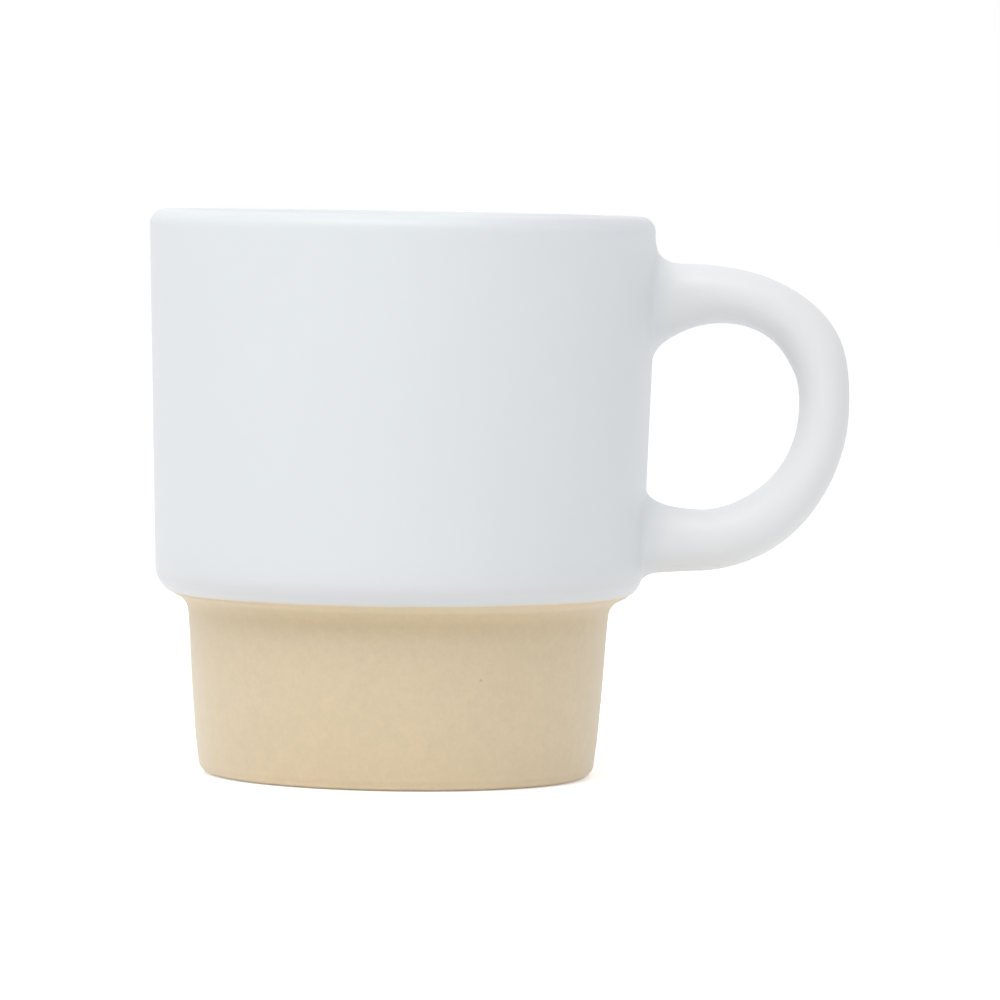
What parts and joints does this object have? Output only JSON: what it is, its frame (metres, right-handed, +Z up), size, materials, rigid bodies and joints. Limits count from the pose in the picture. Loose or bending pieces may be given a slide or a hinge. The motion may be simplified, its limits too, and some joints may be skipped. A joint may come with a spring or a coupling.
{
  "type": "stackable espresso cup",
  "caption": "Stackable espresso cup: thick white satin-glazed body with a round handle, on a narrower bare clay foot.",
  "frame": {"origin": "centre of the foot's underside, on the plane that the cup stands on", "axes": "+Z up along the cup's axis, +X towards the handle, +Y across the handle"},
  "size_m": [0.08, 0.0578, 0.064],
  "materials": {
    "glazed_stoneware": "satin white glaze over sand-coloured stoneware; the foot below the ledge is bare, unglazed and fine-grained"
  },
  "bodies": {
    "root": {"cup": "glazed_stoneware"}
  },
  "joints": []
}
